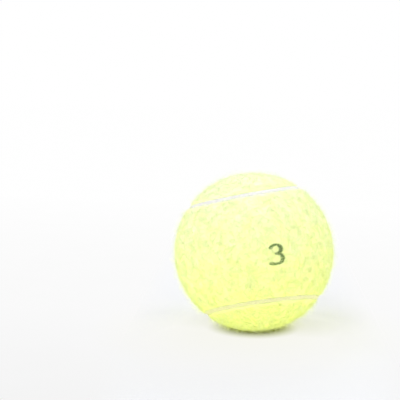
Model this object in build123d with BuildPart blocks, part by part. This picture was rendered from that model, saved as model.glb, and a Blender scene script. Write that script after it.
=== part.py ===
from build123d import *
import os
from math import acos, atan2, cos, degrees, radians, sin, sqrt

# A pressurised tennis ball, lying still: two rubber half shells cemented into a hollow core,
# and a felt cover of two interlocking dumbbell panels, cemented to the core and to each other
# along one recessed seam. Millimetres, +Z up, origin at the ball's centre, front towards -Y.

# Driving dimensions
ball_diameter = 66.6  # over the nap of the felt
felt_thickness = 3.3  # from the back of the felt to the top of its nap
cover_cement_thickness = 0.2  # coat between the core and the felt
core_wall = 3.4  # rubber of the core
core_joint_gap = 0.2  # cement between the flat rims of the two half shells
rim_bevel = 0.6  # bevels of those rims, inside and outside, which the cement fills
panel_waist = 47.2  # round the nap across the narrow waist of a panel, between seam middles
seam_width = 1.8  # between the cut edges of the two panels
shoulder_radius = 0.9  # felt rolled over at its cut edges
seam_step = 0.1  # edge of the seam's face below the start of the rolled felt
seam_crown = 0.15  # rise of the seam's face from its edges to its middle
cut_overrun = 1.0  # how far a cut runs past the faces it opens

# How the ball lies, seen from the front
lie_tilt = 10.4  # degrees that the middle of the front panel's waist is tipped up
lie_rise = 13.0  # degrees that the front panel's long axis rises to the right

# Radii of the layers, from the nap inwards
nap_radius = ball_diameter / 2
felt_back_radius = nap_radius - felt_thickness
core_radius = felt_back_radius - cover_cement_thickness
void_radius = core_radius - core_wall

# The seam is four equal arcs of small circles on the ball, each tangent to the next. Every arc
# goes round the middle of a panel's lobe, and two arcs meet a quarter turn apart on the great
# circle halfway between the two waists.
waist_angle = panel_waist / ball_diameter
lobe_angle = atan2(sqrt(2) - sin(waist_angle), cos(waist_angle))
lobe_polar_angle = waist_angle + lobe_angle
cos_half_sweep = -cos(lobe_polar_angle) * cos(lobe_angle) / (sin(lobe_polar_angle) * sin(lobe_angle))
arc_sweep = 2 * degrees(acos(cos_half_sweep))
quarter_turn = 90
join_turn = quarter_turn / 2

# X of this plane is the front panel's long axis, and its normal leaves through that panel's waist.
panel_plane = Plane(Plane.XZ.location * Rotation(-lie_tilt, 0, lie_rise))
waist_axis = Axis((0, 0, 0), panel_plane.z_dir)


def panel_direction(turn, polar_angle):
    """Unit direction at a turn (degrees) round the waist axis and an angle (radians) from it."""
    across = sin(polar_angle)
    along_x = panel_plane.x_dir * (across * cos(radians(turn)))
    along_y = panel_plane.y_dir * (across * sin(radians(turn)))
    return along_x + along_y + panel_plane.z_dir * cos(polar_angle)


def seam_arcs():
    """For each arc of the seam, the plane across the seam at its start and the lobe axis it turns about.

    In that plane X runs across the seam, towards the lobe's middle, and Y points out of the ball.
    """
    arcs = []
    for quarter in range(4):
        # Lobes of the front panel, quarters 0 and 2, lean back, and those of the back panel forward.
        lean = -1 if quarter % 2 == 0 else 1
        turn = quarter * quarter_turn
        polar_angle = lobe_polar_angle if lean > 0 else radians(2 * quarter_turn) - lobe_polar_angle
        lobe_axis = panel_direction(turn, polar_angle)
        outward = panel_direction(turn + lean * join_turn, radians(quarter_turn))
        across = (lobe_axis - outward * lobe_axis.dot(outward)).normalized()
        section = Plane(origin=(0, 0, 0), x_dir=across, z_dir=across.cross(outward))
        arcs.append((section, Axis((0, 0, 0), lobe_axis)))
    return arcs


# Rim of a core half shell: where its flat and its two bevels begin and end, beside the joint plane
rim_height = core_joint_gap / 2
bevel_height = rim_height + rim_bevel
outer_rim = sqrt(core_radius**2 - rim_height**2) - rim_bevel
inner_rim = sqrt(void_radius**2 - rim_height**2) + rim_bevel
outer_bevel = sqrt(core_radius**2 - bevel_height**2)
inner_bevel = sqrt(void_radius**2 - bevel_height**2)

# Section of the seam between the panels' cut edges
seam_edge = seam_width / 2
shoulder_middle = seam_edge + shoulder_radius
shoulder_start = sqrt((nap_radius - shoulder_radius) ** 2 - shoulder_middle**2)
seam_face = shoulder_start - seam_step
seam_foot = sqrt(felt_back_radius**2 - seam_edge**2)


# Core half shells, rim to rim across the joint plane
with BuildPart() as core_half_upper:
    with BuildSketch(Plane.XZ):
        with BuildLine():
            RadiusArc((outer_bevel, bevel_height), (0, core_radius), -core_radius)
            Line((0, core_radius), (0, void_radius))
            RadiusArc((0, void_radius), (inner_bevel, bevel_height), void_radius)
            Polyline(
                (inner_bevel, bevel_height),
                (inner_rim, rim_height),
                (outer_rim, rim_height),
                (outer_bevel, bevel_height),
            )
        make_face()
    revolve(axis=Axis.Z)
core_half_upper.part.label = "core_half_upper"

with BuildPart() as core_half_lower:
    add(mirror(core_half_upper.part, about=Plane.XY, mode=Mode.PRIVATE))
core_half_lower.part.label = "core_half_lower"

# Cement ring that fills the joint and the bevels of both rims
with BuildPart() as core_joint_cement:
    with BuildSketch(Plane.XZ):
        with BuildLine():
            RadiusArc((outer_bevel, -bevel_height), (outer_bevel, bevel_height), -core_radius)
            Polyline(
                (outer_bevel, bevel_height),
                (outer_rim, rim_height),
                (inner_rim, rim_height),
                (inner_bevel, bevel_height),
            )
            RadiusArc((inner_bevel, bevel_height), (inner_bevel, -bevel_height), void_radius)
            Polyline(
                (inner_bevel, -bevel_height),
                (inner_rim, -rim_height),
                (outer_rim, -rim_height),
                (outer_bevel, -bevel_height),
            )
        make_face()
    revolve(axis=Axis.Z)
core_joint_cement.part.label = "core_joint_cement"

# Cement coat all over the core
with BuildPart() as cover_cement:
    Sphere(felt_back_radius)
    Sphere(core_radius, mode=Mode.SUBTRACT)
cover_cement.part.label = "cover_cement"

# Seam strip, standing on the cement coat between the panels' edges
with BuildPart() as seam_cement:
    for section, lobe_axis in seam_arcs():
        with BuildSketch(section):
            with BuildLine():
                ThreePointArc((-seam_edge, seam_foot), (0, felt_back_radius), (seam_edge, seam_foot))
                Line((seam_edge, seam_foot), (seam_edge, seam_face))
                ThreePointArc((seam_edge, seam_face), (0, seam_face + seam_crown), (-seam_edge, seam_face))
                Line((-seam_edge, seam_face), (-seam_edge, seam_foot))
            make_face()
        revolve(axis=lobe_axis, revolution_arc=arc_sweep)
seam_cement.part.label = "seam_cement"

# Groove that parts the felt into its two panels
with BuildPart() as seam_groove:
    for section, lobe_axis in seam_arcs():
        with BuildSketch(section):
            with Locations((0, felt_back_radius - cut_overrun)):
                Rectangle(seam_width, felt_thickness + 2 * cut_overrun, align=(Align.CENTER, Align.MIN))
        revolve(axis=lobe_axis, revolution_arc=arc_sweep)

with BuildPart() as felt_cover:
    Sphere(nap_radius)
    Sphere(felt_back_radius, mode=Mode.SUBTRACT)
    add(seam_groove.part, mode=Mode.SUBTRACT)
panels = felt_cover.solids().sort_by(waist_axis)


def rolled_edges(panel):
    """Cut edges at the nap: the outermost circles that aren't centred in the ball."""
    circles = panel.edges().filter_by(GeomType.CIRCLE)
    cut_circles = circles.filter_by(lambda edge: edge.arc_center.length > seam_width)
    return cut_circles.group_by(lambda edge: (edge @ 0).length)[-1]


# Felt panels, with the nap rolled over along their cut edges
with BuildPart() as felt_panel_front:
    add(panels[-1])
    fillet(rolled_edges(felt_panel_front), shoulder_radius)
felt_panel_front.part.label = "felt_panel_front"

with BuildPart() as felt_panel_back:
    add(panels[0])
    fillet(rolled_edges(felt_panel_back), shoulder_radius)
felt_panel_back.part.label = "felt_panel_back"

os.makedirs("parts", exist_ok=True)
for piece in (
    core_half_upper,
    core_half_lower,
    core_joint_cement,
    cover_cement,
    seam_cement,
    felt_panel_front,
    felt_panel_back,
):
    export_step(piece.part, f"parts/{piece.part.label}.step")
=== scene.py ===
"""A tennis ball: matted felt panels under a raised nap of fibres, a recessed seam and a printed numeral.

Everything is in metres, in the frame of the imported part, with the ball's centre at the origin.
"""

import math

import bmesh
import bpy
import numpy as np
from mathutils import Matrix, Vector


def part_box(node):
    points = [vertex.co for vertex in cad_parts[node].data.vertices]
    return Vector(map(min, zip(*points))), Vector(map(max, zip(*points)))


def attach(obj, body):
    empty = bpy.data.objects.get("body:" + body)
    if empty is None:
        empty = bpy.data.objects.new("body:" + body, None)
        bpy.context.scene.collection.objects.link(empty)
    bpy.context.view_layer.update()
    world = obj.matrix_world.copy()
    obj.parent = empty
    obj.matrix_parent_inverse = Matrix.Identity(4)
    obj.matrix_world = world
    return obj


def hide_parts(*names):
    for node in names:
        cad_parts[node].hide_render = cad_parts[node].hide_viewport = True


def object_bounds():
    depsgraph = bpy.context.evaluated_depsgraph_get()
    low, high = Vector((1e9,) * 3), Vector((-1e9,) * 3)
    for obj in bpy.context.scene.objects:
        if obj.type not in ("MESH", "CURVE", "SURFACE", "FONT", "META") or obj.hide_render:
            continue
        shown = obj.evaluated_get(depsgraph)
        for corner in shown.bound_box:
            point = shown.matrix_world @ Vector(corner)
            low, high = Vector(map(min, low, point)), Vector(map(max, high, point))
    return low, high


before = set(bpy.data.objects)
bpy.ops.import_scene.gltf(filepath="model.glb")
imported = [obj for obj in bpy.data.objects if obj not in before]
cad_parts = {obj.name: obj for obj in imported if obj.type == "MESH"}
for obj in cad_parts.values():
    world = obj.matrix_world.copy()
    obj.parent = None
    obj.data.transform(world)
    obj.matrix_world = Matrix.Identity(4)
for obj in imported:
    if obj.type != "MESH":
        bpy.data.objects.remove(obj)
cad_low, cad_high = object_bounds()

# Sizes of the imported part
nap_radius = cad_high.z
felt_back_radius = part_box("cover_cement")[1].z
floor_height = cad_low.z

# Sizes of the seam and how the ball lies, as in the part
panel_waist = 0.0472  # round the nap across the waist of a panel, between seam middles
seam_width = 0.0018  # between the cut edges of the two panels
shoulder_radius = 0.0009  # felt rolled over at its cut edges
seam_step = 0.0001  # edge of the seam's face below the start of the rolled felt
seam_crown = 0.00015  # rise of the seam's face from its edges to its middle
lie_tilt = math.radians(10.4)  # of the front panel's waist, tipped up
lie_rise = math.radians(13)  # of the front panel's long axis, to the right

# Felt under the nap
nap_depth = 0.00050  # from the top of the nap down to the matted felt
edge_roll = 0.0011  # radius of the rolled cut edge
edge_overlap = 0.00005  # how far the felt reaches past the part's plain cut edge
edge_ragged = 0.00009  # how far the cut edge wavers, and the length of a waver
edge_ragged_size = 0.0011
lump_sizes = (0.0045, 0.0017, 0.0007)
lump_heights = (0.00005, 0.00002, 0.00001)
ground_tone = 0.7  # middle of the felt's tone, and how far the tone swings
ground_tone_swing = 0.3
panel_subdivisions = 8
panel_back_subdivisions = 6

# Fibres of the nap: most lie in swirls, and the strays stand up
nap_pieces_per_panel = 5
fibres_per_piece = 7600
tries_per_fibre = 3  # places on the whole ball, of which one panel takes about half
nap_seed_step = 100  # from one panel's random seeds to the next panel's
stray_share = 0.32
fibre_rings = 5
fibre_corners = 3
fibre_radius = 0.000034
stray_radius = 0.000022
fibre_radius_shares = (0.7, 1.3)
fibre_tip_share = 0.35  # of its thickness that a fibre keeps at its tip
fibre_length_range = (0.0014, 0.0038)
stray_length_share = 0.8
fibre_rise_range = (0.00001, 0.00016)
stray_rise_range = (0.00045, 0.00290)
stray_rise_power = 1.8  # above 1, more of the strays stay low
stray_lift_power = 0.8  # below 1, a stray rises faster near its root
swirl_size = 0.005
heading_spread = 1.1  # spread of directions about the swirl, in radians
curl_spread = 1.5  # spread of turns from root to tip
wave_spread = 0.7  # spread of the swing to both sides
wave_sweep = 5.0  # angle of the swing from root to tip
edge_calm = 0.0016  # distance from a cut edge within which fibres rise less
edge_rise_share = 0.3  # of its rise that a fibre keeps right at the edge
seam_fringe = 0.00012  # how far any fibre may hang over the edge
seam_cross_share = 0.25  # of the fibres that would hang further, the share that stays

# Seam strip
strip_lift = 0.00020  # of its face over the part's
strip_tuck = 0.00036  # how far its edges reach into the felt
strip_stations_per_arc = 260
strip_face_points = 9
strip_waviness = 0.00006
strip_wave_size = 0.0016

# Printed numeral, placed from the middle of the front panel's waist
numeral_along = 0.01715
numeral_across = -0.00405
numeral_stroke = 0.00140
numeral_thinning = 0.30  # share of the stroke lost at the top and bottom of a bowl
numeral_stretch = 1.26
numeral_upper_radius = 0.00174
numeral_lower_radius = 0.00202
numeral_tail_stretch = 1.55
bowl_end = math.radians(90)  # where the two bowls meet
hook_end = math.radians(150)  # where the upper bowl starts
tail_end = math.radians(128)  # where the lower bowl stops
numeral_side_cosine = 0.5  # keeps the ink on the numeral's own side of the ball
ink_softness = 0.00022

# The photo's frame: its side and the ball's place in it, in pixels
photo_side = 400
ball_pixel = (253.69, 251.69)
ball_pixel_radius = 79.82

# Camera, with its lens and sensor in millimetres
camera_azimuth = math.radians(15)
camera_elevation = math.radians(10)
camera_lens = 90.0
sensor_width = 36.0
camera_clip_start = 0.01


# Vectors and noise

lattice_size = 256
lattice_seed = 11
noise_gain = 1.6  # brings the noise to about -1 to 1


def unit(vectors):
    """Vectors, one to a row, at length 1."""
    return vectors / np.linalg.norm(vectors, axis=-1, keepdims=True)


lattice_rng = np.random.default_rng(lattice_seed)
lattice_order = lattice_rng.permutation(lattice_size)
lattice_slopes = unit(lattice_rng.normal(size=(lattice_size, 3)))


def gradient_noise(points):
    """Smooth noise between about -1 and 1, with about one bump to each unit of length."""
    cell = np.floor(points).astype(int)
    inside = points - cell
    fade = inside**3 * (inside * (inside * 6 - 15) + 10)
    total = np.zeros(len(points))
    for corner in np.ndindex(2, 2, 2):
        place = cell + corner
        index = lattice_order[place[:, 0] % lattice_size]
        index = lattice_order[(index + place[:, 1]) % lattice_size]
        index = lattice_order[(index + place[:, 2]) % lattice_size]
        weight = np.prod(np.where(corner, fade, 1 - fade), axis=1)
        total += weight * np.einsum("ij,ij->i", lattice_slopes[index], inside - corner)
    return total * noise_gain


def smooth_step(low, high, values):
    """0 below low, 1 above high and smooth between them."""
    t = np.clip((values - low) / (high - low), 0, 1)
    return t * t * (3 - 2 * t)


# The seam: four equal arcs, each round the middle of a panel's lobe

waist_angle = panel_waist / (2 * nap_radius)
lobe_angle = math.atan2(math.sqrt(2) - math.sin(waist_angle), math.cos(waist_angle))
lobe_polar_angle = waist_angle + lobe_angle
half_sweep = math.acos(-1 / (math.tan(lobe_polar_angle) * math.tan(lobe_angle)))
seam_edge = seam_width / 2
felt_edge = seam_edge - edge_overlap
strip_edge = felt_edge + strip_tuck
shoulder_start = math.sqrt((nap_radius - shoulder_radius) ** 2 - (seam_edge + shoulder_radius) ** 2)
strip_face = shoulder_start - seam_step + strip_lift

# Rows: the front panel's long axis, the direction across its waist, and out through the waist
rise_cos, rise_sin = math.cos(lie_rise), math.sin(lie_rise)
tilt_cos, tilt_sin = math.cos(lie_tilt), math.sin(lie_tilt)
panel_axes = np.array([
    (rise_cos, rise_sin * tilt_sin, rise_sin * tilt_cos),
    (-rise_sin, rise_cos * tilt_sin, rise_cos * tilt_cos),
    (0, -tilt_cos, tilt_sin),
])


def seam_lobes():
    """For each arc, its lobe's axis, the direction from there to the arc's middle, and its panel.

    A panel is 1 for the front one and -1 for the back one.
    """
    axes, tops, owners = [], [], []
    for quarter in range(4):
        owner = 1 if quarter % 2 == 0 else -1
        turn = quarter * math.pi / 2
        polar = math.pi - lobe_polar_angle if owner > 0 else lobe_polar_angle
        flat = math.sin(polar)
        axis = np.array((flat * math.cos(turn), flat * math.sin(turn), math.cos(polar))) @ panel_axes
        pole = -owner * panel_axes[2]
        axes.append(axis)
        tops.append(unit(pole - axis * (pole @ axis)))
        owners.append(owner)
    return np.array(axes), np.array(tops), np.array(owners)


lobe_axes, lobe_tops, lobe_owners = seam_lobes()


def seam_offset(directions):
    """Distance round the nap from the seam's middle, and the lobe of the nearest arc.

    The distance is positive on the front panel and negative on the back one.
    """
    nearest = np.full(len(directions), np.inf)
    lobe = np.zeros(len(directions), int)
    for index, (axis, top) in enumerate(zip(lobe_axes, lobe_tops)):
        along = directions @ axis
        off = np.arccos(np.clip(along, -1, 1)) - lobe_angle
        sideways = directions - along[:, None] * axis
        on_arc = sideways @ top >= math.cos(half_sweep) * np.linalg.norm(sideways, axis=1)
        nearer = on_arc & (np.abs(off) < np.abs(nearest))
        nearest[nearer] = off[nearer]
        lobe[nearer] = index
    return -lobe_owners[lobe] * nearest * nap_radius, lobe


def slid_to_offset(directions, offset):
    """The same places, moved square to the seam until they are at that offset from it."""
    lobe = seam_offset(directions)[1]
    axis = lobe_axes[lobe]
    angle = (lobe_angle - lobe_owners[lobe] * offset / nap_radius)[:, None]
    sideways = unit(directions - np.einsum("ij,ij->i", directions, axis)[:, None] * axis)
    return np.cos(angle) * axis + np.sin(angle) * sideways


# The felt's own surface, under the nap

edge_shift = lattice_size / 4  # in the noise, so that the edges of the two panels differ


def edge_waver(directions, side):
    """How far a panel's ragged cut edge stands back from its plain edge, at the seam's nearest place."""
    on_seam = slid_to_offset(directions, 0)
    return edge_ragged * gradient_noise(on_seam * (nap_radius / edge_ragged_size) + side * edge_shift)


def from_edge_of(directions, side):
    """Distance from one panel's cut edge, positive on its felt: side 1 is the front and -1 the back."""
    return side * seam_offset(directions)[0] - felt_edge - edge_waver(directions, side)


def felt_radius(directions, side):
    """Radius of the matted felt of one panel, rolled over at its edge."""
    from_edge = np.clip(from_edge_of(directions, side), 0, edge_roll)
    roll = edge_roll - np.sqrt(edge_roll**2 - (edge_roll - from_edge) ** 2)
    lumps = np.zeros(len(directions))
    for size, height in zip(lump_sizes, lump_heights):
        lumps += height * gradient_noise(directions * (nap_radius / size))
    return nap_radius - nap_depth - roll + lumps * (from_edge / edge_roll)


# The printed numeral

numeral_angle = numeral_along / nap_radius
numeral_out = math.sin(numeral_angle) * panel_axes[0] + math.cos(numeral_angle) * panel_axes[2]
numeral_right = np.cross(panel_axes[1], numeral_out)


def outside_stroke(x, y, centre_y, radius, start, end):
    """How far places lie outside a stroke along an arc about (0, centre_y), in widths of its soft edge."""
    angle = np.clip(np.arctan2(y - centre_y, x), start, end)
    distance = np.hypot(x - radius * np.cos(angle), y - centre_y - radius * np.sin(angle))
    pen = numeral_stroke / 2 * (1 - numeral_thinning * np.sin(angle) ** 2)
    return (distance - pen) / ink_softness


def ink_cover(directions):
    """How much ink lies at each place, from 0 to 1: a plain 3 of two open bowls."""
    x = nap_radius * np.arctan2(directions @ numeral_right, directions @ numeral_out) / numeral_stretch
    y = nap_radius * np.arcsin(directions @ panel_axes[1]) - numeral_across
    tail_x = np.where((x < 0) & (y < -numeral_lower_radius), x / numeral_tail_stretch, x)
    upper = outside_stroke(x, y, numeral_upper_radius, numeral_upper_radius, -bowl_end, hook_end)
    lower = outside_stroke(tail_x, y, -numeral_lower_radius, numeral_lower_radius, -tail_end, bowl_end)
    cover = 1 - smooth_step(-1, 1, np.minimum(upper, lower))
    return np.where(directions @ numeral_out > numeral_side_cosine, cover, 0)


# Meshes

bake_map_name = "OFBake"
cell_margin = 0.08


def mesh_piece(name, vertices, triangles, material, values=None, bake_map=None):
    """A smooth triangle mesh as an object, with any named numbers at its vertices and any baking map."""
    mesh = bpy.data.meshes.new(name)
    mesh.vertices.add(len(vertices))
    mesh.vertices.foreach_set("co", np.asarray(vertices, np.float32).ravel())
    mesh.loops.add(triangles.size)
    mesh.loops.foreach_set("vertex_index", np.asarray(triangles, np.int32).ravel())
    mesh.polygons.add(len(triangles))
    mesh.polygons.foreach_set("loop_start", np.arange(0, triangles.size, 3, dtype=np.int32))
    mesh.update(calc_edges=True)
    mesh.shade_smooth()
    for value_name, value in (values or {}).items():
        attribute = mesh.attributes.new(value_name, "FLOAT", "POINT")
        attribute.data.foreach_set("value", np.asarray(value, np.float32))
    if bake_map is not None:
        layer = mesh.uv_layers.new(name=bake_map_name)
        layer.data.foreach_set("uv", np.asarray(bake_map, np.float32).ravel())
    mesh.materials.append(material)
    piece = bpy.data.objects.new(name, mesh)
    bpy.context.scene.collection.objects.link(piece)
    return piece


def icosphere(subdivisions):
    """Unit directions and triangles of an even ball."""
    ball = bmesh.new()
    bmesh.ops.create_icosphere(ball, subdivisions=subdivisions, radius=1.0)
    directions = unit(np.array([vertex.co for vertex in ball.verts]))
    triangles = np.array([[vertex.index for vertex in face.verts] for face in ball.faces])
    ball.free()
    return directions, triangles


def rim_edges(triangles, count):
    """Directed edges that only one triangle has."""
    edges = np.concatenate([triangles[:, (0, 1)], triangles[:, (1, 2)], triangles[:, (2, 0)]])
    keys = edges[:, 0] * count + edges[:, 1]
    reverse_keys = edges[:, 1] * count + edges[:, 0]
    return edges[~np.isin(keys, reverse_keys)]


def without_ears(triangles, count):
    """The triangles that are left when none has all three corners on the rim."""
    while True:
        on_rim = np.zeros(count, bool)
        on_rim[rim_edges(triangles, count).ravel()] = True
        ears = on_rim[triangles].all(axis=1)
        if not ears.any():
            return triangles
        triangles = triangles[~ears]


def rim_in_order(triangles, count):
    """Vertices of the closed rim, one after the other."""
    follower = dict(rim_edges(triangles, count))
    rim = [next(iter(follower))]
    while follower[rim[-1]] != rim[0]:
        rim.append(follower[rim[-1]])
    return np.array(rim)


def panel_patch(side, subdivisions):
    """The part of an even ball on one panel: directions, triangles and the rim, slid onto the cut edge."""
    directions, triangles = icosphere(subdivisions)
    middles = unit(directions[triangles].mean(axis=1))
    triangles = triangles[side * seam_offset(middles)[0] > felt_edge]
    used, triangles = np.unique(without_ears(triangles, len(directions)), return_inverse=True)
    triangles = triangles.reshape(-1, 3)
    directions = directions[used]
    rim = rim_in_order(triangles, len(directions))
    edge = side * (felt_edge + edge_waver(directions[rim], side))
    directions[rim] = slid_to_offset(directions[rim], edge)
    return directions, triangles, rim


def wall_between(upper, lower, upper_places, lower_places):
    """Triangles that join two rims of unequal count which run the same way."""
    start = int(np.argmin(np.linalg.norm(lower_places - upper_places[0], axis=1)))
    lower = np.roll(lower, -start)
    lower_places = np.roll(lower_places, -start, axis=0)
    wall = []
    i = j = 0
    while i < len(upper) or j < len(lower):
        here, there = i % len(upper), j % len(lower)
        next_here, next_there = (i + 1) % len(upper), (j + 1) % len(lower)
        over = np.linalg.norm(upper_places[next_here] - lower_places[there])
        under = np.linalg.norm(upper_places[here] - lower_places[next_there])
        if j == len(lower) or (i < len(upper) and over <= under):
            wall.append((upper[here], lower[there], upper[next_here]))
            i += 1
        else:
            wall.append((upper[here], lower[there], lower[next_there]))
            j += 1
    return np.array(wall)


def felt_panel(name, side, material):
    """One dumbbell of matted felt as a closed shell from the cement coat up, with rolled edges."""
    top, top_triangles, top_rim = panel_patch(side, panel_subdivisions)
    back, back_triangles, back_rim = panel_patch(side, panel_back_subdivisions)
    wall = wall_between(top_rim, back_rim + len(top), top[top_rim], back[back_rim])
    vertices = np.concatenate([top * felt_radius(top, side)[:, None], back * felt_back_radius])
    triangles = np.concatenate([top_triangles, back_triangles[:, ::-1] + len(top), wall])
    directions = np.concatenate([top, back])
    tone = ground_tone + ground_tone_swing * gradient_noise(directions * (nap_radius / lump_sizes[1]))
    values = {"tone": tone, "ink": ink_cover(directions), "height": np.zeros(len(directions))}
    return mesh_piece(name, vertices, triangles, material, values)


# Fibres

ring_shares = np.linspace(0, 1, fibre_rings)
steep_limit = 0.8  # of a direction's z, past which x is the better axis to turn about


def scattered(rng, side, count):
    """Random places on one panel, evenly spread."""
    places = unit(rng.normal(size=(tries_per_fibre * count, 3)))
    return places[side * seam_offset(places)[0] > felt_edge][:count]


def tangents(directions):
    """Two directions square to each other along the ball's surface."""
    helper = np.where(np.abs(directions[:, 2:]) < steep_limit, (0.0, 0.0, 1.0), (1.0, 0.0, 0.0))
    first = unit(np.cross(helper, directions))
    return first, np.cross(directions, first)


def wandering(rng, roots, length):
    """Directions along each fibre, from its root: it follows the swirl of the nap, curls and waves."""
    count = len(roots)
    swirl = gradient_noise(roots * (nap_radius / swirl_size))
    heading = 2 * math.pi * swirl + rng.normal(0, heading_spread, count)
    curl = rng.normal(0, curl_spread, count)
    wave = rng.normal(0, wave_spread, count)
    phase = rng.uniform(0, 2 * math.pi, count)
    sway = wave[:, None] * np.sin(wave_sweep * ring_shares + phase[:, None])
    angle = heading[:, None] + curl[:, None] * ring_shares + sway
    step = (length / (fibre_rings - 1))[:, None]
    x = np.cumsum(step * np.cos(angle), axis=1) - step * np.cos(angle[:, :1])
    y = np.cumsum(step * np.sin(angle), axis=1) - step * np.sin(angle[:, :1])
    first, second = tangents(roots)
    along = x[..., None] * first[:, None] + y[..., None] * second[:, None]
    return unit(roots[:, None] + along / nap_radius)


def fibre_lines(rng, side, count):
    """Middle lines of fibres, as (fibre, ring) places and heights over the felt, and which are strays."""
    roots = scattered(rng, side, count)
    count = len(roots)
    stray = rng.random(count) < stray_share
    length = rng.uniform(*fibre_length_range, count) * np.where(stray, stray_length_share, 1)
    stray_low, stray_high = stray_rise_range
    stray_rise = stray_low + (stray_high - stray_low) * rng.random(count) ** stray_rise_power
    rise = np.where(stray, stray_rise, rng.uniform(*fibre_rise_range, count))
    directions = wandering(rng, roots, length)
    each_direction = directions.reshape(-1, 3)
    from_edge = from_edge_of(each_direction, side).reshape(count, fibre_rings)
    crosses = from_edge.min(axis=1) < -seam_fringe
    kept = ~crosses | (rng.random(count) < seam_cross_share)
    calm = edge_rise_share + (1 - edge_rise_share) * smooth_step(0, edge_calm, from_edge)
    loop = np.sin(math.pi * ring_shares)
    lift = np.where(stray[:, None], ring_shares**stray_lift_power, loop) * rise[:, None] * calm
    ground = felt_radius(each_direction, side).reshape(count, fibre_rings)
    ground = np.maximum(ground, strip_face + seam_crown)
    lines = directions * (ground + lift)[..., None]
    return lines[kept], lift[kept], stray[kept]


def fibre_triangles():
    """Triangles of one tube, its sides and its two ends, and their corners with the tube unrolled flat."""
    triangles, unrolled = [], []
    for ring in range(fibre_rings - 1):
        for corner in range(fibre_corners):
            a = ring * fibre_corners + corner
            b = ring * fibre_corners + (corner + 1) % fibre_corners
            here, above = (corner, ring), (corner, ring + 1)
            beside, beyond = (corner + 1, ring), (corner + 1, ring + 1)
            triangles.append((a, b, a + fibre_corners))
            unrolled.append((here, beside, above))
            triangles.append((b, b + fibre_corners, a + fibre_corners))
            unrolled.append((beside, beyond, above))
    end = fibre_rings - 1
    last = end * fibre_corners
    middle = fibre_corners / 2
    triangles.append((2, 1, 0))
    unrolled.append(((2, 0), (1, 0), (middle, -1)))
    triangles.append((last, last + 1, last + 2))
    unrolled.append(((1, end), (2, end), (middle, end + 1)))
    return np.array(triangles), np.array(unrolled)


def cells_of_map(unrolled, count):
    """The unrolled tube once for each fibre, in its own cell of a square map: (fibre, triangle, corner)."""
    cells = math.ceil(math.sqrt(count))
    low, high = unrolled.min(axis=(0, 1)), unrolled.max(axis=(0, 1))
    in_cell = cell_margin + (1 - 2 * cell_margin) * (unrolled - low) / (high - low)
    fibre = np.arange(count)
    corner = np.stack([fibre % cells, fibre // cells], axis=-1)
    return (corner[:, None, None] + in_cell) / cells


def fibre_mesh(name, rng, side, count, material):
    """A piece of nap: fibres as closed three-sided tubes that thin towards their tips."""
    lines, lift, stray = fibre_lines(rng, side, count)
    count = len(lines)
    along = unit(np.gradient(lines, axis=1))
    across = unit(np.cross(unit(lines), along))
    above = np.cross(along, across)
    thickness = np.where(stray, stray_radius, fibre_radius)[:, None]
    thickness = thickness * rng.uniform(*fibre_radius_shares, (count, 1))
    radius = thickness * np.linspace(1, fibre_tip_share, fibre_rings)
    corner_angle = 2 * math.pi * np.arange(fibre_corners) / fibre_corners
    ring = (
        np.cos(corner_angle)[:, None] * across[:, :, None]
        + np.sin(corner_angle)[:, None] * above[:, :, None]
    )
    vertices = lines[:, :, None] + radius[:, :, None, None] * ring
    # Fibres under the ball lie flat on the floor
    vertices[..., 2] = np.maximum(vertices[..., 2], floor_height)
    per_fibre = fibre_rings * fibre_corners
    tube, unrolled = fibre_triangles()
    triangles = tube + (np.arange(count) * per_fibre)[:, None, None]
    values = {
        "tone": np.repeat(rng.random(count), per_fibre),
        "ink": np.repeat(ink_cover(unit(lines.reshape(-1, 3))), fibre_corners),
        "height": np.repeat(lift.ravel() / nap_depth, fibre_corners),
    }
    bake_map = cells_of_map(unrolled, count)
    return mesh_piece(name, vertices.reshape(-1, 3), triangles.reshape(-1, 3), material, values, bake_map)


# The seam strip


def strip_stations():
    """Stations in order round the seam: the lobe of each, and the direction from its axis to the seam."""
    stations = []
    turns = np.linspace(-half_sweep, half_sweep, strip_stations_per_arc, endpoint=False)
    for lobe, (axis, top, owner) in enumerate(zip(lobe_axes, lobe_tops, lobe_owners)):
        beside = np.cross(axis, top)
        for turn in turns * owner:
            stations.append((lobe, math.cos(turn) * top + math.sin(turn) * beside))
    return stations


def seam_strip(name, material):
    """The closed strip of seam cement: a crowned, slightly uneven face, on a foot at the cement coat."""
    face = np.linspace(-strip_edge, strip_edge, strip_face_points)
    foot = np.array((strip_edge, 0, -strip_edge))
    crown = strip_face + seam_crown * (1 - (face / strip_edge) ** 2)
    offsets = np.concatenate([face, foot])
    heights = np.concatenate([crown, np.full(len(foot), felt_back_radius)])
    on_face = np.concatenate([np.ones(len(face)), np.zeros(len(foot))])
    rows = []
    for lobe, sideways in strip_stations():
        angle = (lobe_angle - lobe_owners[lobe] * offsets / nap_radius)[:, None]
        rows.append(np.cos(angle) * lobe_axes[lobe] + np.sin(angle) * sideways)
    directions = np.array(rows)
    station_count, point_count = directions.shape[:2]
    waves = gradient_noise(directions.reshape(-1, 3) * (nap_radius / strip_wave_size))
    waves = waves.reshape(station_count, point_count)
    vertices = directions * (heights + strip_waviness * waves * on_face)[..., None]
    triangles = []
    for station in range(station_count):
        here = station * point_count
        there = (station + 1) % station_count * point_count
        for point in range(point_count):
            after = (point + 1) % point_count
            triangles.append((here + point, there + after, here + after))
            triangles.append((here + point, there + point, there + after))
    return mesh_piece(name, vertices.reshape(-1, 3), np.array(triangles), material)


# Materials

# A mix node's colour sockets have no names of their own, only places
mix_first, mix_second, mix_result = 6, 7, 2


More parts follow.
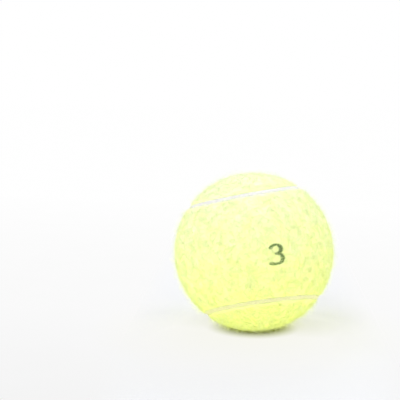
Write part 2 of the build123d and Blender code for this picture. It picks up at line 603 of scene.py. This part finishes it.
class Shader:
    """The node tree of a material or a world, with short calls for the nodes used here."""

    def __init__(self, owner, output_kind="ShaderNodeOutputMaterial"):
        owner.use_nodes = True
        self.owner = owner
        self.tree = owner.node_tree
        self.tree.nodes.clear()
        self.output = self.node(output_kind)

    def node(self, kind, sockets=None, **settings):
        """A new node with its settings, and its sockets, by name or place, linked or set."""
        node = self.tree.nodes.new(kind)
        for setting, value in settings.items():
            setattr(node, setting, value)
        for socket, value in (sockets or {}).items():
            self.put(node.inputs[socket], value)
        return node

    def put(self, socket, value):
        """Links a socket to a node's output, or sets it to a value."""
        if isinstance(value, bpy.types.NodeSocket):
            self.tree.links.new(value, socket)
        else:
            socket.default_value = value

    def place(self):
        """Where a point of the object is."""
        return self.node("ShaderNodeTexCoord").outputs["Object"]

    def noise(self, size, detail=3.0, roughness=0.5):
        """Noise with features of that size, as a value about 0.5."""
        sockets = {"Vector": self.place(), "Scale": 1 / size, "Detail": detail, "Roughness": roughness}
        return self.node("ShaderNodeTexNoise", sockets).outputs["Fac"]

    def attribute(self, name):
        """A number that the mesh has at its vertices."""
        return self.node("ShaderNodeAttribute", attribute_name=name).outputs["Fac"]

    def spread(self, value, across, onto=(0.0, 1.0)):
        """Maps one range of values onto another, held at its ends."""
        sockets = {
            "Value": value,
            "From Min": across[0],
            "From Max": across[1],
            "To Min": onto[0],
            "To Max": onto[1],
        }
        return self.node("ShaderNodeMapRange", sockets, clamp=True).outputs["Result"]

    def math(self, operation, first, second):
        """One operation on two values."""
        return self.node("ShaderNodeMath", {0: first, 1: second}, operation=operation).outputs["Value"]

    def measure(self, operation, place, other):
        """The distance between two places, or how far a place lies along a direction."""
        sockets = {0: place, 1: other}
        return self.node("ShaderNodeVectorMath", sockets, operation=operation).outputs["Value"]

    def slope(self, value, start, end):
        """Straight line through two points, each a value and its result, and on past them."""
        rise = (end[1] - start[1]) / (end[0] - start[0])
        return self.math("ADD", self.math("MULTIPLY", value, rise), start[1] - rise * start[0])

    def mix(self, share, first, second):
        """Colour between first and second."""
        sockets = {"Factor": share, mix_first: first, mix_second: second}
        return self.node("ShaderNodeMix", sockets, data_type="RGBA").outputs[mix_result]

    def bump(self, height, distance, strength):
        """Normals of a relief that is that deep."""
        sockets = {"Height": height, "Distance": distance, "Strength": strength}
        return self.node("ShaderNodeBump", sockets).outputs["Normal"]

    def diffuse(self, colour):
        """Plain paint."""
        return self.node("ShaderNodeBsdfDiffuse", {"Color": colour}).outputs["BSDF"]

    def emission(self, colour, strength):
        """A surface that shines by itself."""
        sockets = {"Color": colour, "Strength": strength}
        return self.node("ShaderNodeEmission", sockets).outputs["Emission"]

    def background(self, colour, strength):
        """Light from all round."""
        sockets = {"Color": colour, "Strength": strength}
        return self.node("ShaderNodeBackground", sockets).outputs["Background"]

    def mix_shaders(self, share, first, second):
        """A surface between first and second."""
        return self.node("ShaderNodeMixShader", {"Fac": share, 1: first, 2: second}).outputs["Shader"]

    def add_shaders(self, first, second):
        """The light of two surfaces together."""
        return self.node("ShaderNodeAddShader", {0: first, 1: second}).outputs["Shader"]

    def finished(self, surface):
        """The material or world, with that surface."""
        self.put(self.output.inputs["Surface"], surface)
        return self.owner

    def principled(self, **sockets):
        """The material with a principled surface, its sockets named with _ for spaces."""
        named = {name.replace("_", " "): value for name, value in sockets.items()}
        return self.finished(self.node("ShaderNodeBsdfPrincipled", named).outputs["BSDF"])


# Colours of the felt and its print
fibre_yellow = (0.920, 0.985, 0.610, 1)
# The matted felt is a deeper yellow than the fibres, partly painted shade deep in the nap
ground_yellow = (0.945, 0.99, 0.515, 1)
felt_pale = (0.945, 0.985, 0.72, 1)
felt_deep = (0.89, 0.98, 0.46, 1)
felt_warm = (0.97, 0.965, 0.58, 1)
# Painted highlight: the colour that the fibres take towards their tips, where light catches them
painted_tip_highlight = (0.96, 0.99, 0.90, 1)
felt_sheen = (1.0, 1.0, 0.96, 1)
ink_colour = (0.068, 0.160, 0.039, 1)

# Mottling and the painted tip highlight: the size of patches, the range of noise, tone or height, and the
# shares of colour at its ends
pale_patch_size = 0.0052
pale_patch_range = (0.38, 0.66)
pale_patch_shares = (0.0, 0.5)
warm_patch_size = 0.0031
warm_patch_range = (0.56, 0.74)
warm_patch_shares = (0.0, 0.45)
deep_tone_range = (0.15, 0.95)
deep_tone_shares = (0.18, 0.0)
pale_tone_range = (0.6, 1.0)
pale_tone_shares = (0.0, 0.35)
tip_height_range = (0.6, 2.6)
tip_shares = (0.0, 0.85)
ink_wear_size = 0.0006
ink_wear_range = (0.32, 0.54)
ink_worn_share = 0.40

# Grain and shades: the ranges of noise that they take in, and what they change
grain_range = (0.3, 0.7)
felt_grain_size = 0.00028
felt_roughness_range = (0.8, 0.96)
shade_range = (0.35, 0.65)
grains_per_patch = 7
roughness_swing = 0.08


def felt_material(name, body, bump_distance, ink_strength):
    """Fluorescent yellow felt, mottled paler, deeper and warmer, with a painted highlight towards the
    fibres' tips and worn ink where it is printed.
    """
    felt = Shader(bpy.data.materials.new(name))
    tone = felt.attribute("tone")
    pale_patches = felt.spread(felt.noise(pale_patch_size, detail=2), pale_patch_range, pale_patch_shares)
    warm_patches = felt.spread(felt.noise(warm_patch_size, detail=2), warm_patch_range, warm_patch_shares)
    wear = felt.spread(felt.noise(ink_wear_size, detail=2), ink_wear_range, (ink_worn_share, ink_strength))
    tips = felt.spread(felt.attribute("height"), tip_height_range, tip_shares)
    colour = felt.mix(pale_patches, body, felt_pale)
    colour = felt.mix(felt.spread(tone, deep_tone_range, deep_tone_shares), colour, felt_deep)
    colour = felt.mix(felt.spread(tone, pale_tone_range, pale_tone_shares), colour, felt_pale)
    colour = felt.mix(warm_patches, colour, felt_warm)
    # Painted highlight: paler towards the fibres' tips
    colour = felt.mix(tips, colour, painted_tip_highlight)
    colour = felt.mix(felt.math("MULTIPLY", felt.attribute("ink"), wear), colour, ink_colour)
    grain = felt.noise(felt_grain_size, detail=4, roughness=0.62)
    return felt.principled(
        Base_Color=colour,
        Roughness=felt.spread(grain, grain_range, felt_roughness_range),
        Specular_IOR_Level=0.15,
        Sheen_Weight=0.25,
        Sheen_Roughness=0.35,
        Sheen_Tint=felt_sheen,
        Normal=felt.bump(grain, distance=bump_distance, strength=0.6),
    )


def grained_material(name, dark, light, patch_size, roughness, bump_distance, specular=0.4):
    """Plain rubber or cement: two close shades in patches, with a fine grain."""
    grained = Shader(bpy.data.materials.new(name))
    patches = grained.spread(grained.noise(patch_size), shade_range)
    grain = grained.noise(patch_size / grains_per_patch)
    roughness_range = (roughness - roughness_swing, roughness + roughness_swing)
    return grained.principled(
        Base_Color=grained.mix(patches, dark, light),
        Roughness=grained.spread(grain, grain_range, roughness_range),
        Specular_IOR_Level=specular,
        Normal=grained.bump(grain, distance=bump_distance, strength=0.5),
    )


felt_ground = felt_material("felt_ground", body=ground_yellow, bump_distance=0.00006, ink_strength=0.92)
felt_fibre = felt_material("felt_fibre", body=fibre_yellow, bump_distance=0.00001, ink_strength=0.85)
seam_white = grained_material(
    "seam_off_white",
    dark=(0.64, 0.617, 0.575, 1),
    light=(0.72, 0.696, 0.655, 1),
    patch_size=0.0011,
    roughness=0.62,
    bump_distance=0.00003,
    specular=0.3,
)
core_rubber = grained_material(
    "core_rubber",
    dark=(0.050, 0.049, 0.047, 1),
    light=(0.085, 0.083, 0.079, 1),
    patch_size=0.004,
    roughness=0.72,
    bump_distance=0.00004,
)
core_cement = grained_material(
    "core_cement",
    dark=(0.020, 0.019, 0.018, 1),
    light=(0.045, 0.043, 0.040, 1),
    patch_size=0.0015,
    roughness=0.55,
    bump_distance=0.00003,
)
cover_cement = grained_material(
    "cover_cement",
    dark=(0.55, 0.47, 0.30, 1),
    light=(0.68, 0.60, 0.42, 1),
    patch_size=0.003,
    roughness=0.48,
    bump_distance=0.00004,
)

# Pieces of the ball

panels = {"front": 1, "back": -1}

for panel_number, (panel, side) in enumerate(panels.items(), start=1):
    sheet = felt_panel(f"felt_{panel}", side, felt_ground)
    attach(sheet, "root")
    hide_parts(f"felt_panel_{panel}")
    for number in range(1, nap_pieces_per_panel + 1):
        nap_rng = np.random.default_rng(nap_seed_step * panel_number + number)
        tuft = fibre_mesh(f"nap_{panel}_{number}", nap_rng, side, fibres_per_piece, felt_fibre)
        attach(tuft, "root")

strip = seam_strip("seam_strip", seam_white)
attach(strip, "root")
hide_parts("seam_cement")

# Materials of the CAD pieces inside

inner_materials = {
    "core_half_upper": core_rubber,
    "core_half_lower": core_rubber,
    "core_joint_cement": core_cement,
    "cover_cement": cover_cement,
}
for node, material in inner_materials.items():
    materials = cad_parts[node].data.materials
    materials.clear()
    materials.append(material)

# Floor


def seen_from(azimuth, elevation):
    """Unit direction from the ball to a viewer or lamp, with azimuth 0 at the front."""
    flat = math.cos(elevation)
    return Vector((flat * math.sin(azimuth), -flat * math.cos(azimuth), math.sin(elevation)))


white = (1, 1, 1, 1)
to_viewer = seen_from(camera_azimuth, 0)
to_right = seen_from(camera_azimuth + math.pi / 2, 0)
to_back = -seen_from(0, 0)
under_ball = Vector((0, 0, floor_height))

# The floor as it is seen: places behind the ball's middle with the brightness there, and a white far edge
floor_reach = 3.0
floor_near = (-0.08, 0.922)
floor_middle = (0.0, 0.952)
floor_far = (0.40, 1.0)
floor_fade = (0.12, 1.50)  # distances all round between which it gets white
floor_least = 0.88
floor_grain_size = 0.02
floor_grain_levels = (0.995, 1.0)
# Painted reflected light: the floor near the ball tinted yellowish, as if lit by the ball
painted_bounce_tint = (1.0, 0.995, 0.94, 1)
bounce_tint_reach = (0.02, 0.07)

# The floor as it lights the ball
floor_paint = (0.50, 0.50, 0.22, 1)
table_glow = (0.85, 0.89, 0.36, 1)

# Painted contact shadow, a dark place where the ball touches the floor, also left out of the floor's glow:
# its shift to the right and away from the viewer
painted_contact_shadow = (0.50, 0.53, 0.015, 1)
contact_shift = (0.0008, 0.006)
contact_reach = (0.0110, 0.0220)

# The ball's cast shadow: pairs of distances between which it comes or goes, and how much of it shows
shadow_paint = (0.655, 0.655, 0.600, 1)
shadow_front = (-0.006, 0.022)
front_shadow_share = 0.04
behind_shadow_share = 0.62
cast_shadow_reach = (0.030, 0.060)
cast_shadow_delay = 0.5  # share of the way in front of the ball by which the shadow comes later there
shadow_end = (0.12, 0.32)
shadow_half_width = (0.034, 0.054)


def seen_directly(shader):
    """1 for rays that show the background: straight from the camera, mirrored or seen through."""
    path = shader.node("ShaderNodeLightPath")
    mirrored = shader.math("MAXIMUM", path.outputs["Is Glossy Ray"], path.outputs["Is Transmission Ray"])
    return shader.math("MAXIMUM", path.outputs["Is Camera Ray"], mirrored)


def floor_brightness(floor, behind, distance):
    """How bright the floor shows: less in front, white far behind and far all round, with a faint grain."""
    near_level = floor.slope(behind, floor_near, floor_middle)
    far_level = floor.slope(behind, floor_middle, floor_far)
    all_round = floor.spread(distance, floor_fade, (floor_least, 1))
    level = floor.math("MAXIMUM", floor.math("MINIMUM", near_level, far_level), all_round)
    grain = floor.spread(floor.noise(floor_grain_size), grain_range, floor_grain_levels)
    return floor.math("MULTIPLY", floor.math("MINIMUM", level, 1), grain)


def cast_shadow(floor, place, behind, distance):
    """How much of the ball's cast shadow shows: little close in front, and none far aside or far off."""
    close = floor.spread(behind, shadow_front, (front_shadow_share, behind_shadow_share))
    delay = floor.math("MULTIPLY", behind, cast_shadow_delay)
    outer = floor.spread(floor.math("ADD", distance, delay), cast_shadow_reach)
    beside = floor.measure("DOT_PRODUCT", place, to_right)
    off_middle = floor.math("MULTIPLY", beside, beside)
    narrow = floor.spread(off_middle, (shadow_half_width[0] ** 2, shadow_half_width[1] ** 2), (1, 0))
    short = floor.spread(distance, shadow_end, (1, 0))
    cast = floor.math("MAXIMUM", close, outer)
    return floor.math("MULTIPLY", cast, floor.math("MULTIPLY", narrow, short))


def floor_material():
    """Pale floor, seen nearly white, with the ball's soft shadow as paint that the lamps light, a painted
    contact shadow where the ball touches it and a painted yellowish reflection near the ball.

    To the ball it is yellowish paint with a glow, which leaves out the place that the ball touches as
    painted shade.
    """
    floor = Shader(bpy.data.materials.new("floor_pale"))
    place = floor.place()
    behind = floor.measure("DOT_PRODUCT", place, to_back)
    distance = floor.measure("DISTANCE", place, under_ball)
    contact_middle = under_ball + contact_shift[0] * to_right - contact_shift[1] * to_viewer
    contact = floor.spread(floor.measure("DISTANCE", place, contact_middle), contact_reach, (1, 0))
    # Painted reflected light: yellowish near the ball
    tint = floor.mix(floor.spread(distance, bounce_tint_reach, (1, 0)), white, painted_bounce_tint)
    bright = floor.emission(tint, floor_brightness(floor, behind, distance))
    # Painted contact shadow: dark olive paint where the ball touches the floor
    shaded = floor.diffuse(floor.mix(contact, shadow_paint, painted_contact_shadow))
    shade = floor.math("MAXIMUM", contact, cast_shadow(floor, place, behind, distance))
    # The glow is left out where the ball touches: painted shade under the ball
    glow = floor.emission(table_glow, floor.math("SUBTRACT", 1, contact))
    lighting = floor.add_shaders(floor.diffuse(floor_paint), glow)
    shown = floor.mix_shaders(shade, bright, shaded)
    return floor.finished(floor.mix_shaders(seen_directly(floor), lighting, shown))


floor_corners = np.array([(-1, -1, 0), (1, -1, 0), (1, 1, 0), (-1, 1, 0)]) * floor_reach
floor_corners[:, 2] = floor_height
floor_piece = mesh_piece("floor", floor_corners, np.array([(0, 1, 2), (0, 2, 3)]), floor_material())

# World and lights

sky_strength = 0.53
sky_colour = (0.99, 0.99, 1.12, 1)


def studio_world():
    """Even soft light all round, and plain white where the background is seen."""
    sky = Shader(bpy.data.worlds.new("studio"), "ShaderNodeOutputWorld")
    light = sky.background(sky_colour, sky_strength)
    backdrop = sky.background(white, 1)
    return sky.finished(sky.mix_shaders(seen_directly(sky), light, backdrop))


bpy.context.scene.world = studio_world()

white_light = (0.95, 0.98, 1.26)
warm_light = (0.96, 1.0, 0.50)
plain_light = (0.95, 1.0, 0.94)
cool_light = (1.0, 1.0, 1.16)

# Softboxes: turn from the camera's side and height angle in degrees, distance, size, power and colour
softboxes = {
    "key_left": (-32, 43, 1.1, 0.45, 2.42, white_light),
    "fill_right": (42, 36, 1.1, 0.45, 1.4, plain_light),
    "side_left": (-85, 35, 1.1, 0.45, 2.8, white_light),
    "side_right": (88, 35, 1.1, 0.45, 2.7, plain_light),
    "top": (180, 84, 1.2, 0.80, 4.9, cool_light),
    "back": (165, 45, 1.2, 0.80, 4.5, cool_light),
    "low_card": (-14, 7, 1.0, 0.25, 0.8, warm_light),
}


def add_softbox(name, turn, height_angle, distance, size, power, colour):
    """A square lamp that faces the ball."""
    lamp = bpy.data.lights.new(name, "AREA")
    lamp.size = size
    lamp.energy = power
    lamp.color = colour
    softbox = bpy.data.objects.new(name, lamp)
    place = distance * seen_from(camera_azimuth + math.radians(turn), math.radians(height_angle))
    softbox.location = place
    softbox.rotation_euler = (-place).to_track_quat("-Z", "Y").to_euler()
    bpy.context.scene.collection.objects.link(softbox)


for softbox_name, softbox_settings in softboxes.items():
    add_softbox(softbox_name, *softbox_settings)

# Camera: the ball stands at its place and size in the photo's frame


def aimed_camera():
    """A camera on the photo's side of the ball, turned so that the ball's centre falls on its pixel."""
    focal = camera_lens / sensor_width * photo_side
    right = (ball_pixel[0] - photo_side / 2) / focal
    up = (photo_side / 2 - ball_pixel[1]) / focal
    ray = unit(np.array((right, up, -1.0)))
    look_down = math.asin(math.sin(camera_elevation) / math.hypot(ray[1], ray[2]))
    pitch = math.atan2(ray[1], -ray[2]) + look_down
    ahead = ray[1] * math.sin(pitch) - ray[2] * math.cos(pitch)
    yaw = camera_azimuth + math.atan2(ray[0], ahead)
    half_view = math.atan(ball_pixel_radius * -ray[2] / focal)
    distance = nap_radius / math.sin(half_view)
    camera = bpy.data.objects.new("camera", bpy.data.cameras.new("camera"))
    camera.data.lens = camera_lens
    camera.data.sensor_width = sensor_width
    camera.data.clip_start = camera_clip_start
    camera.location = distance * seen_from(camera_azimuth, camera_elevation)
    camera.rotation_euler = (math.pi / 2 - pitch, 0, yaw)
    bpy.context.scene.collection.objects.link(camera)
    return camera


bpy.context.scene.camera = aimed_camera()
bpy.context.scene.view_settings.view_transform = "Standard"
